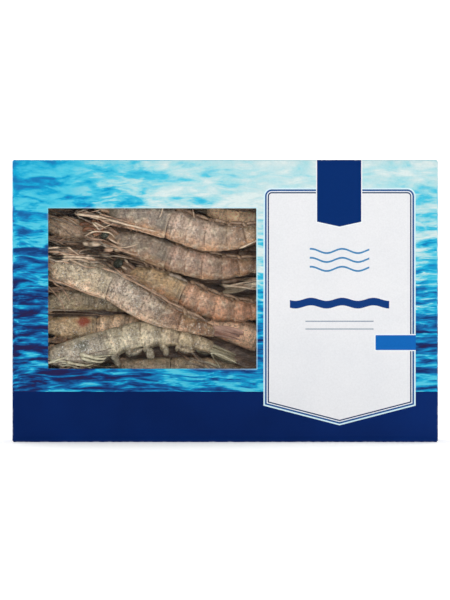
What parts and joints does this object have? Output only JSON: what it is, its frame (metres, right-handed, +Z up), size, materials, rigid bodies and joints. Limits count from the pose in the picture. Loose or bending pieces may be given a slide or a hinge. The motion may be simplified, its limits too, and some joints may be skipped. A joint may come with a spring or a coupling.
{
  "type": "raw whiteleg shrimp pack",
  "caption": "Shut window carton of raw whole whiteleg shrimp: printed folding carton, clear film behind a rectangular window, and the frozen shrimp that show through it.",
  "frame": {"origin": "middle of the carton's underside, halfway along its length and depth", "axes": "+X along the carton's length, to the right as the window is faced; +Y from the window to the back; +Z up"},
  "size_m": [0.3, 0.045, 0.199],
  "materials": {
    "board": "printed and varnished carton board, satin",
    "film": "thin clear film, glossy",
    "shell": "raw frozen shrimp shell, grey-brown with a thin ice glaze",
    "bed": "frozen shrimp and ice in the dark of the carton"
  },
  "bodies": {
    "root": {"carton": "board", "window_film": "film", "frozen_bed": "bed", "shrimp_top": "shell", "shrimp_second": "shell", "shrimp_third": "shell", "shrimp_middle": "shell", "shrimp_bottom": "shell", "shrimp_left": "shell", "shrimp_left_low": "shell", "shrimp_right_low": "shell", "shrimp_corner": "shell", "shrimp_left_high": "shell", "shrimp_base": "shell", "shrimp_right": "shell"}
  },
  "joints": []
}
